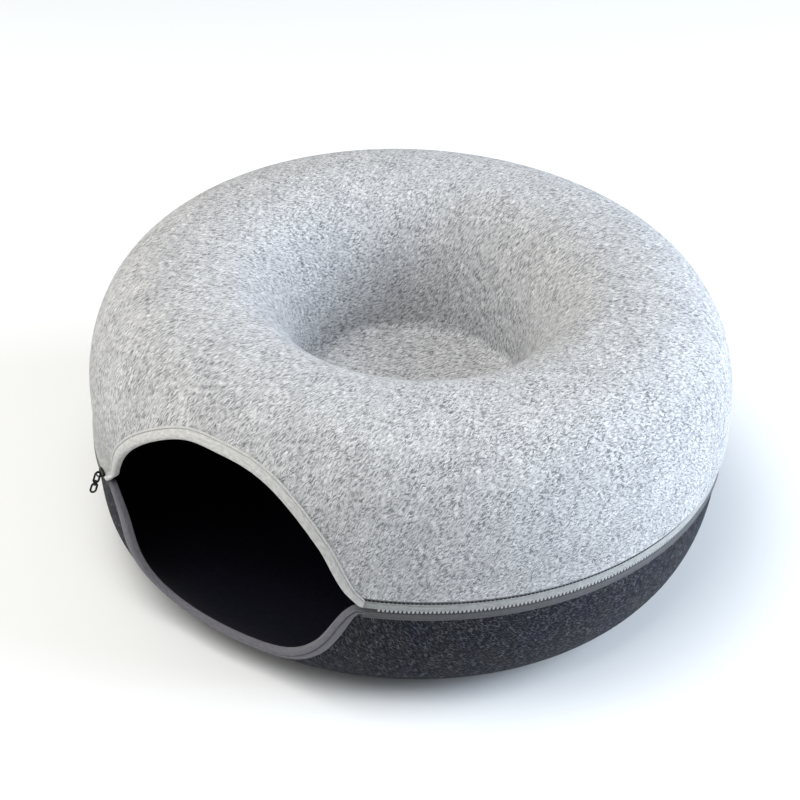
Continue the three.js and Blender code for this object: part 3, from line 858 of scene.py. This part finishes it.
def over_edge(rim, angle, into, out):
    """Points of a ribbon: each goes square to the mouth's edge, in over the face, and out along its normal.
    Towards the corners the way in shrinks smoothly."""
    arc = BASE_RADIUS * math.radians(1)
    before, after = beside(angle)
    run = (after - before) * arc
    rise = rim.edge(after) - rim.edge(before)
    size = np.hypot(run, rise)
    from_corner = (MOUTH_HALF_ANGLE - np.abs(angle)) * arc
    share = np.where(angle < 0, *rim.taper)
    narrow = share + (1 - share) * smoothstep(from_corner, 0, TAPER_LENGTH)
    into = np.where(into > RIBBON_ROOM, RIBBON_ROOM + (into - RIBBON_ROOM) * narrow, into)
    return rim.on_face(angle - into * rise / size / arc, rim.edge(angle) + into * run / size, out)


def ribbon(name, rim, material):
    """A ribbon folded over the mouth's edge, thinning to its two hems. Returns its length and width too."""
    angle = MOUTH_HALF_ANGLE * np.sin(np.linspace(-0.5, 0.5, RIBBON_STEPS + 1) * math.pi)[:, None]
    line = ribbon_line(*rim.groove)
    hem = np.minimum(np.arange(len(line)), np.arange(len(line))[::-1])
    half = RIBBON / 2 * np.sqrt(np.clip(hem / 2.0, 0.25, 1))
    sides = [over_edge(rim, angle, into, out) for into, out in both_faces(line, half)]
    return strip(name, sides, lengths_of(sides[0][:, len(line) // 2]), line, material)


def stitches(name, places, along, out, length, radius, material):
    """A row of stitches: small rounded bars that lie along the row, half sunk into the cloth."""
    side = np.cross(out, along)
    axes = np.stack([along * length / 2, side * radius, out * radius], axis=-1)
    return many(name, blob(*STITCH_SHAPE), places, axes, material)


def ribbon_stitches(name, rim, pitch, material):
    """Stitches along a ribbon, evenly spaced, at a distance in from its fold and a height over the felt."""
    angle = np.linspace(-MOUTH_HALF_ANGLE, MOUTH_HALF_ANGLE, STITCH_LINE_POINTS) * STITCHED_SHARE
    path = over_edge(rim, angle, STITCH_INTO, STITCH_LIFT)
    above = over_edge(rim, angle, STITCH_INTO, STITCH_LIFT + 1 * MM)
    run = lengths_of(path)
    at = np.arange(pitch, run[-1] - pitch, pitch)

    def pick(values):
        return np.column_stack([np.interp(at, run, values[:, k]) for k in range(3)])

    along = unit(pick(np.gradient(path, axis=0)))
    out = pick(above - path)
    out = unit(out - along * np.sum(out * along, axis=1, keepdims=True))
    return stitches(name, pick(path), along, out, STITCH_SHARE * pitch, STITCH_RADIUS, material)


class BED_OT_ribbons(bpy.types.Operator):
    """Makes the two ribbons folded over the mouth's edges, and their stitches"""

    bl_idname = "bed.ribbons"
    bl_label = "Ribbons"

    def execute(self, context):
        look = context.scene.bed_trim
        for side, felt, slot, rim, colour, thread_colour in (
            ("upper", "top", "pale_ribbon", UPPER_RIM, look.upper_ribbon, look.upper_thread),
            ("lower", "base", "grey_ribbon", LOWER_RIM, look.lower_ribbon, look.lower_thread),
        ):
            material = woven_material(slot, colour, *RIBBON_WEAVE)
            thread = woven_material(f"thread_{side}", thread_colour, *THREAD_WEAVE)
            piece, length, width = ribbon(f"ribbon_{side}", rim, material)
            row = ribbon_stitches(f"ribbon_stitches_{side}", rim, look.stitch, thread)
            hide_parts(f"mouth_binding_{side}")
        return {"FINISHED"}


# The zip


def band(name, line, thickness, start, material, lift=None):
    """A tape round the ring, from the mouth's right to its left: a line of (radius, height) points carried
    round, with half its thickness between and at its rims. lift says how far its points rise."""
    angle = np.linspace(start, 360 - start, BAND_STEPS + 1)[:, None]
    half = np.full(len(line), thickness[0])
    half[[0, -1]] = thickness[1]
    sides = []
    for radius, height in both_faces(line, half):
        rise = lift(angle, height) if lift else 0
        sides.append(spot(angle, radius, height + rise))
    along = np.radians(angle[:, 0] - start) * line[:, 0].mean()
    return strip(name, sides, along, line, material)


def corded_band(name, radius, low, high, cord, thickness, material):
    """An upright tape between two heights, with a bell-shaped cord along it, all in millimetres."""
    height = np.linspace(low, high, CORDED_POINTS)
    line = np.column_stack([radius + ridge(height, *cord), height]) * MM
    return band(name, line, thickness, ZIP_START, material)


def evenly(start, reach, radius, pitch):
    """The middles of equal steps round the ring, as angles, as many as fit at a pitch."""
    count = int(math.radians(reach) * radius / pitch)
    return start + (np.arange(count) + 0.5) * reach / count


# The upper tape: where it runs in behind the upper ribbon's end, its radius behind the lip, the step out
# below the lip and between which heights it lies, its woven ridge and its beaded edge as height, centre and
# width, half its thickness between and at its rims, and the heights between which it comes to follow the
# lip. Then its own heights in millimetres, and its points between them and those of the other bands
UPPER_TAPE_START = 27.7
UPPER_TAPE_RADIUS = 244.85 * MM
UPPER_TAPE_STEP = 2.1 * MM
UPPER_TAPE_STEP_HEIGHTS = (108.4 * MM, 111 * MM)
UPPER_TAPE_RIDGE = (0.45 * MM, 106.2 * MM, 0.5 * MM)
UPPER_TAPE_BEAD = (0.5 * MM, 102.7 * MM, 0.6 * MM)
UPPER_TAPE_THICKNESS = (0.5 * MM, 0.2 * MM)
UPPER_TAPE_FOLLOWS = (104 * MM, 108 * MM)
UPPER_TAPE_HEIGHTS = (102.35, 121.5)
UPPER_TAPE_POINTS = 90
CORDED_POINTS = 26

# The lower tape over the felt's edge, its hem turned into a small roll, and the coil's back behind the teeth
# and a little below them, dark as painted shade in the gaps between the teeth and under them: radius, heights
# and cord in millimetres, then half the thickness in metres
LOWER_TAPE = (246.75, 93.35, 98.6, (0.45, 93.9, 0.55), (0.5 * MM, 0.22 * MM))
COIL_BACK_SHADE = (246.1, 98.7, 102.2, (0.35, 99.3, 0.45), (0.6 * MM, 0.25 * MM))


def upper_tape_radius(height):
    """The upper tape's middle line: flat behind the lip, out over a soft step just below it, with a thicker
    woven ridge and a beaded lower edge."""
    step = UPPER_TAPE_STEP * (1 - smoothstep(height, *UPPER_TAPE_STEP_HEIGHTS))
    return UPPER_TAPE_RADIUS + step + ridge(height, *UPPER_TAPE_RIDGE) + ridge(height, *UPPER_TAPE_BEAD)


def follow_lip(angle, height):
    """How far the upper tape rises with the felt's lip: as far above its ridge, and nothing at its foot."""
    return shifted(angle, LIP_SHIFTS) * smoothstep(height, *UPPER_TAPE_FOLLOWS)


def upper_tape(material):
    """The upper tape, sewn behind the felt's lip."""
    height = np.linspace(*UPPER_TAPE_HEIGHTS, UPPER_TAPE_POINTS) * MM
    line = np.column_stack([upper_tape_radius(height), height])
    return band("tape_upper", line, UPPER_TAPE_THICKNESS, UPPER_TAPE_START, material, follow_lip)


# The teeth show as a row of scallops over the coil's dark back. Their lean is in degrees, their half width a
# share of the pitch, half their depth in millimetres, their widening how much wider they are at the top than
# in the middle, and their shape its rows, columns and powers
TEETH_LOW = 99.5 * MM
TEETH_HIGH = 102.5 * MM
TEETH_RADIUS = 246.9 * MM
TEETH_START = 30.6
TEETH_END = 29.6
TEETH_LEAN = 6
TEETH_SHARE = 0.33
TEETH_DEPTH = 0.8
TEETH_WIDENING = 0.45
TEETH_SHAPE = (8, 12, (0.7, 0.7))


def teeth(pitch, material):
    """The closed chain: one rounded bar for each pair of teeth, leaning a little along the zip."""
    angle = evenly(TEETH_START, 360 - TEETH_END - TEETH_START, TEETH_RADIUS, pitch)
    places = spot(angle, TEETH_RADIUS, (TEETH_LOW + TEETH_HIGH) / 2)
    out = unit(places - spot(angle, 0, 0) - (0, 0, (TEETH_LOW + TEETH_HIGH) / 2))
    up = np.broadcast_to((0.0, 0.0, 1.0), out.shape)
    along = np.cross(up, out)
    lean = math.radians(TEETH_LEAN)
    tall = up * math.cos(lean) + along * math.sin(lean)
    wide = along * math.cos(lean) - up * math.sin(lean)
    half = (TEETH_HIGH - TEETH_LOW) / 2
    deep = out * TEETH_DEPTH * MM
    axes = np.stack([wide * TEETH_SHARE * pitch, deep, tall * half / math.cos(lean)], axis=-1)
    scallop, faces = blob(*TEETH_SHAPE)
    scallop[:, 0] *= 1 + TEETH_WIDENING * scallop[:, 2]
    return many("zip_teeth", (scallop, faces), places, axes, material)


# The stitches that hold the upper tape to the felt, of dark thread that paints the lip's shadow as a dark
# line just under the lip: where they lie, their pitch, their radius, and how much of the pitch each takes up
SEAM_HEIGHT = 108.7 * MM
SEAM_RADIUS = upper_tape_radius(SEAM_HEIGHT) + 0.6 * MM
SEAM_PITCH = 3.0 * MM
SEAM_THREAD = 0.55 * MM
SEAM_SHARE = 0.96


def seam_shade_stitches(material):
    """A row of stitches round the ring on the upper tape, which goes up and down with the felt's lip."""
    # Their thread is dark as painted shade: the row stands in for the shadow under the felt's lip
    angle = evenly(ZIP_START, 360 - 2 * ZIP_START, SEAM_RADIUS, SEAM_PITCH)

    def at(turn):
        return spot(turn, SEAM_RADIUS, SEAM_HEIGHT + follow_lip(turn, SEAM_HEIGHT))

    out = at(angle) * (1, 1, 0) - (0, AXIS_Y, 0)
    along = unit(at(angle + 0.2) - at(angle - 0.2))
    return stitches("zip_seam_shade", at(angle), along, unit(out), SEAM_SHARE * SEAM_PITCH, SEAM_THREAD, material)


class BED_OT_zip(bpy.types.Operator):
    """Makes the zip's two tapes, the stitches that hold the upper one, the coil's back and its teeth. The
        stitches and the coil's back are dark as painted shade under the felt's lip and round the teeth
    """

    bl_idname = "bed.zip"
    bl_label = "Zip"

    def execute(self, context):
        look = context.scene.bed_trim
        pale = woven_material("pale_tape", look.upper_tape, *TAPE_WEAVE)
        grey = woven_material("grey_tape", look.lower_tape, *TAPE_WEAVE)
        piece, length, width = upper_tape(pale)
        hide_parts("zip_tape_upper")
        # Dark stitches under the lip: painted shade for the lip's shadow
        seam = seam_shade_stitches(woven_material("seam_shade_thread", look.seam, *THREAD_WEAVE))
        piece, length, width = corded_band("tape_lower", *LOWER_TAPE, grey)
        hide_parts("zip_tape_lower")
        # Dark coil back behind the teeth: painted shade in the gaps between them and just below them
        dark = woven_material("coil_back_shade", look.coil_back_shade, *COIL_WEAVE)
        piece = corded_band("zip_coil_back_shade", *COIL_BACK_SHADE, dark)[0]
        piece = teeth(look.pitch, plastic_material("zip_teeth", look.teeth))
        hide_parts("zip_chain")
        return {"FINISHED"}


# The slider and its pull, in a frame of their own: x along the zip away from the mouth, y up, z out

SLIDER_HEIGHT = 100.35 * MM
SLIDER_LENGTH = 11.5 * MM

# Its front and back plate: width, and radii of the inner and the outer face. Their outline's power, how far
# their rims are rounded, and how many points go round them and rings over each rim
FRONT_PLATE = (8.4 * MM, 248 * MM, 249.8 * MM)
BACK_PLATE = (3.1 * MM, 242.1 * MM, 243.9 * MM)
PLATE_POWER = 3.2
PLATE_ROUND = 0.55 * MM
PLATE_POINTS = 40
PLATE_RINGS = 5

# Its bridge: the loop's width and length, where it lies along the slider and off the axis, and half the
# height and width of its section in millimetres
BRIDGE_LOOP = (4.4 * MM, 6.2 * MM)
BRIDGE_AT = (7.3 * MM, 251.0 * MM)
BRIDGE_SECTION = (0.75, 0.5)

# The pull's lean outwards in degrees, the width and length of its link and its ring, and the wire's radius
PULL_LEAN = 17
LINK_LOOP = (4.2 * MM, 9.2 * MM)
RING_LOOP = (4.4 * MM, 7.8 * MM)
WIRE = 0.8 * MM

# In millimetres: where the link hangs, how far down the ring and the knob hang, and the knob's radii. Then
# the rows, columns and powers of the knob's shape
HOOK = (5.5, 0.7, 252.7)
RING_DROP = 10.4
KNOB_DROP = 7.6
KNOB_RADII = (1.5, 1.5, 2.6)
KNOB_SHAPE = (12, 16, (0.8, 1.0))

# Points round a loop, and round the section of the wire and of the bridge
LOOP_POINTS = 48
WIRE_POINTS = 14
BRIDGE_POINTS = 12


def slider_axes():
    """The slider's place on the zip's line, and its three axes as the columns of a matrix."""
    place = spot(np.array(SLIDER_ANGLE), 0.0, SLIDER_HEIGHT)
    out = unit(spot(np.array(SLIDER_ANGLE), 1.0, 0) - spot(np.array(SLIDER_ANGLE), 0.0, 0))
    up = np.array((0.0, 0.0, 1.0))
    along = np.cross(out, up)
    return place, np.column_stack([along, up, out])


def placed(points):
    """Points from the slider's own frame to the bed's, out with the zip where it stands out."""
    place, axes = slider_axes()
    out = pucker(SLIDER_ANGLE, TEETH_RADIUS, SLIDER_HEIGHT)
    return (points + (0, 0, out)) @ axes.T + place


def slider_piece(name, points, faces, material):
    """A closed piece from points in the slider's own frame."""
    points = placed(points)
    return piece_from(name, points, outwards(points, faces), [material])


def plate(name, width, low, high, material):
    """A plate with a superellipse outline. Its rings run in by a quarter circle to its outer face, across to
    its inner face and out again by a quarter circle. The first and last are joined to the faces' middles."""
    half = SLIDER_LENGTH / 2
    outline = signed_power(oval(1, 1, PLATE_POINTS), 2 / PLATE_POWER)
    t = np.linspace(0, math.pi / 2, PLATE_RINGS)
    shrink = PLATE_ROUND * (1 - np.sin(t))
    drop = PLATE_ROUND * (1 - np.cos(t))
    shrink = np.concatenate([shrink[::-1], shrink])[:, None]
    height = np.concatenate([high - drop[::-1], low + drop])[:, None]
    x = outline[:, 0] * (half - shrink) + half
    y = outline[:, 1] * (width / 2 - shrink)
    grid = np.stack([x, y, np.broadcast_to(height, x.shape)], axis=-1).reshape(-1, 3)
    points = np.vstack([grid, [(half, 0, high), (half, 0, low)]])
    return slider_piece(name, points, capped(2 * PLATE_RINGS, PLATE_POINTS), material)


def oval_path(width, length):
    """A closed oval of two straights and two half circles, evenly stepped, in a plane, from its top down."""
    radius = width / 2
    straight = length - width
    bend = math.pi * radius
    s = np.linspace(0, 2 * straight + 2 * math.pi * radius, LOOP_POINTS, endpoint=False)
    under = (s - bend - straight) / radius
    legs = [s < bend, s < bend + straight, s < 2 * bend + straight]
    over_x, over_y = radius * np.cos(s / radius), radius * np.sin(s / radius)
    x = np.select(legs, [over_x, -radius, -radius * np.cos(under)], radius)
    rise = -straight + (s - 2 * bend - straight)
    y = np.select(legs, [over_y, bend - s, -straight - radius * np.sin(under)], rise)
    return np.column_stack([x, y])


def wire_loop(name, loop, centre, lean, material):
    """A loop of round wire: an oval path in a plane square to the zip, leaning out, with a round section."""
    flat = oval_path(*loop)
    out = flat[:, 0] * math.cos(lean) - flat[:, 1] * math.sin(lean)
    up = flat[:, 0] * math.sin(lean) + flat[:, 1] * math.cos(lean)
    path = placed(np.column_stack([np.zeros(len(flat)), up, out]) + centre)
    return sweep(name, path, slider_axes()[1][:, 0], oval(WIRE, WIRE, WIRE_POINTS), material)


def bridge(name, material):
    """The slider's bridge: an oval path in a level plane along the zip, with an oval section."""
    flat = oval_path(*BRIDGE_LOOP)
    along, out = BRIDGE_AT
    path = placed(np.column_stack([flat[:, 1] + along, np.zeros(len(flat)), flat[:, 0] + out]))
    section = oval(*BRIDGE_SECTION, BRIDGE_POINTS)[:, ::-1] * MM
    return sweep(name, path, (0.0, 0.0, 1.0), section, material)


class BED_OT_slider(bpy.types.Operator):
    """Makes the zip's slider and the pull that hangs from it"""

    bl_idname = "bed.slider"
    bl_label = "Slider and pull"

    def execute(self, context):
        metal = metal_material("dark_metal", context.scene.bed_trim.metal)
        body = plate("slider_plate", *FRONT_PLATE, metal)
        rear = plate("slider_back", *BACK_PLATE, metal)
        arch = bridge("slider_bridge", metal)
        lean = math.radians(PULL_LEAN)
        hook = np.array(HOOK) * MM
        link = wire_loop("pull_link", LINK_LOOP, hook, lean, metal)
        drop = np.array((0, -math.cos(lean), math.sin(lean)))
        ring = wire_loop("pull_ring", RING_LOOP, hook + drop * RING_DROP * MM, lean, metal)
        points, faces = blob(*KNOB_SHAPE)
        axes = np.column_stack([(1, 0, 0), np.cross(drop, (1, 0, 0)), drop])
        points = points * np.array(KNOB_RADII) * MM @ axes.T + hook + drop * KNOB_DROP * MM
        knob = slider_piece("pull_knob", points, faces, metal)
        for piece in (body, rear, arch, link, ring, knob):
            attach(piece, "root")
        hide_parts("zip_slider")
        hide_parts("zip_pull")
        return {"FINISHED"}


# The stage

# The camera, from the outline of the ring: where it stands round it, and where a point on the axis falls
IMAGE_PIXELS = 800
CAMERA_TURN = 34
CAMERA_RISE = 36.227
CAMERA_DISTANCE = 1.75
CAMERA_ROLL = 3.219
FOCAL_PIXELS = 2204.4
AIM_HEIGHT = 87.5 * MM
AIM_PIXEL = (409.5, 417.96)
SENSOR = 36


def camera_matrix():
    """The camera's place and axes: it looks at the aim point, is then turned so that the point falls on its
    pixel, and is rolled about its own line of sight."""
    turn, rise, roll = (math.radians(a) for a in (CAMERA_TURN, CAMERA_RISE, CAMERA_ROLL))
    back = Vector((math.sin(turn) * math.cos(rise), -math.cos(turn) * math.cos(rise), math.sin(rise)))
    aim = Vector((0, AXIS_Y, AIM_HEIGHT))
    ahead = -back
    right = Vector((math.cos(turn), math.sin(turn), 0))
    up = right.cross(ahead)
    a = math.atan((AIM_PIXEL[0] - IMAGE_PIXELS / 2) / FOCAL_PIXELS)
    b = math.atan((AIM_PIXEL[1] - IMAGE_PIXELS / 2) / FOCAL_PIXELS)
    ahead, right = ahead * math.cos(a) - right * math.sin(a), right * math.cos(a) + ahead * math.sin(a)
    ahead, up = ahead * math.cos(b) + up * math.sin(b), up * math.cos(b) - ahead * math.sin(b)
    right, up = right * math.cos(roll) + up * math.sin(roll), up * math.cos(roll) - right * math.sin(roll)
    matrix = Matrix((right, up, -ahead)).transposed().to_4x4()
    matrix.translation = aim + back * CAMERA_DISTANCE
    return matrix


# The lights' distance from the bed, their width and the height that they are turned to
LIGHT_DISTANCE = 2.2
LIGHT_SIZE = 1.6
LIGHT_AIM = 0.15

# How far the floor reaches each way
FLOOR_REACH = 12


def soft_light(name, turn, rise, power, colour):
    """A square soft light turned to the bed, at an angle round it from the camera and a rise, in degrees."""
    data = bpy.data.lights.new(name, "AREA")
    data.shape = "SQUARE"
    data.size = LIGHT_SIZE
    data.energy = power
    data.color = colour
    light = bpy.data.objects.new(name, data)
    around = math.radians(CAMERA_TURN + turn)
    up = math.radians(rise)
    out = Vector((math.sin(around) * math.cos(up), -math.cos(around) * math.cos(up), math.sin(up)))
    place = Vector((0, AXIS_Y, LIGHT_AIM)) + out * LIGHT_DISTANCE
    light.matrix_world = Matrix.Translation(place) @ (-out).to_track_quat("-Z", "Y").to_matrix().to_4x4()
    bpy.context.scene.collection.objects.link(light)


class BED_OT_stage(bpy.types.Operator):
    """Makes the floor, the lights and the camera"""

    bl_idname = "bed.stage"
    bl_label = "Stage"

    def execute(self, context):
        look = context.scene.bed_stage
        scene = context.scene
        material, _, shader = blank_material("floor")
        shader.inputs["Base Color"].default_value = look.floor
        shader.inputs["Roughness"].default_value = 0.9
        shader.inputs["Specular IOR Level"].default_value = 0.1
        corners = FLOOR_REACH * np.array([(-1, -1, 0), (1, -1, 0), (1, 1, 0), (-1, 1, 0)], float)
        floor = piece_from("stage_floor", corners, [np.array([[0, 1, 2, 3]])], [material])
        world = bpy.data.worlds.new("sky")
        world.use_nodes = True
        sky = world.node_tree.nodes["Background"]
        sky.inputs["Color"].default_value = (0.95, 0.97, 1.0, 1)
        sky.inputs["Strength"].default_value = look.sky
        scene.world = world
        for name, power, turn, rise, colour in (
            ("right_light", look.right, 90, 18, (0.76, 0.87, 1.0)),
            ("front_light", look.front, -45, 66, (0.95, 0.98, 1.0)),
            ("left_light", look.left, -90, 18, (1.0, 0.97, 0.88)),
            ("high_light", look.back, -90, 66, (1.0, 0.93, 0.8)),
        ):
            soft_light(name, turn, rise, power, colour)
        data = bpy.data.cameras.new("camera")
        data.sensor_width = SENSOR
        data.lens = FOCAL_PIXELS / IMAGE_PIXELS * SENSOR
        camera = bpy.data.objects.new("camera", data)
        camera.matrix_world = camera_matrix()
        scene.collection.objects.link(camera)
        scene.camera = camera
        scene.view_settings.view_transform = "Standard"
        return {"FINISHED"}


class BED_PT_panel(bpy.types.Panel):
    """The bed's pieces and their sizes and colours"""

    bl_idname = "BED_PT_panel"
    bl_label = "Cat tunnel bed"
    bl_space_type = "VIEW_3D"
    bl_region_type = "UI"
    bl_category = "Bed"

    def draw(self, context):
        for group in (context.scene.bed_felt, context.scene.bed_trim, context.scene.bed_stage):
            box = self.layout.box()
            for key in group.__annotations__:
                box.prop(group, key)
        for operator in OPERATORS:
            self.layout.operator(operator.bl_idname)


GROUPS = (("bed_felt", BED_PG_felt), ("bed_trim", BED_PG_trim), ("bed_stage", BED_PG_stage))
OPERATORS = (BED_OT_top_felt, BED_OT_base_felt, BED_OT_ribbons, BED_OT_zip, BED_OT_slider, BED_OT_stage)


def register():
    """Registers the groups, the operators and the panel."""
    for name, group in GROUPS:
        bpy.utils.register_class(group)
        setattr(bpy.types.Scene, name, PointerProperty(type=group))
    for made in (*OPERATORS, BED_PT_panel):
        bpy.utils.register_class(made)


def unregister():
    """Takes them away again."""
    for made in (BED_PT_panel, *reversed(OPERATORS)):
        bpy.utils.unregister_class(made)
    for name, group in reversed(GROUPS):
        delattr(bpy.types.Scene, name)
        bpy.utils.unregister_class(group)


def main():
    """Makes every piece."""
    register()
    bpy.ops.bed.top_felt()
    bpy.ops.bed.base_felt()
    bpy.ops.bed.ribbons()
    bpy.ops.bed.zip()
    bpy.ops.bed.slider()
    bpy.ops.bed.stage()
    bpy.context.view_layer.update()


if __name__ == "__main__":
    main()
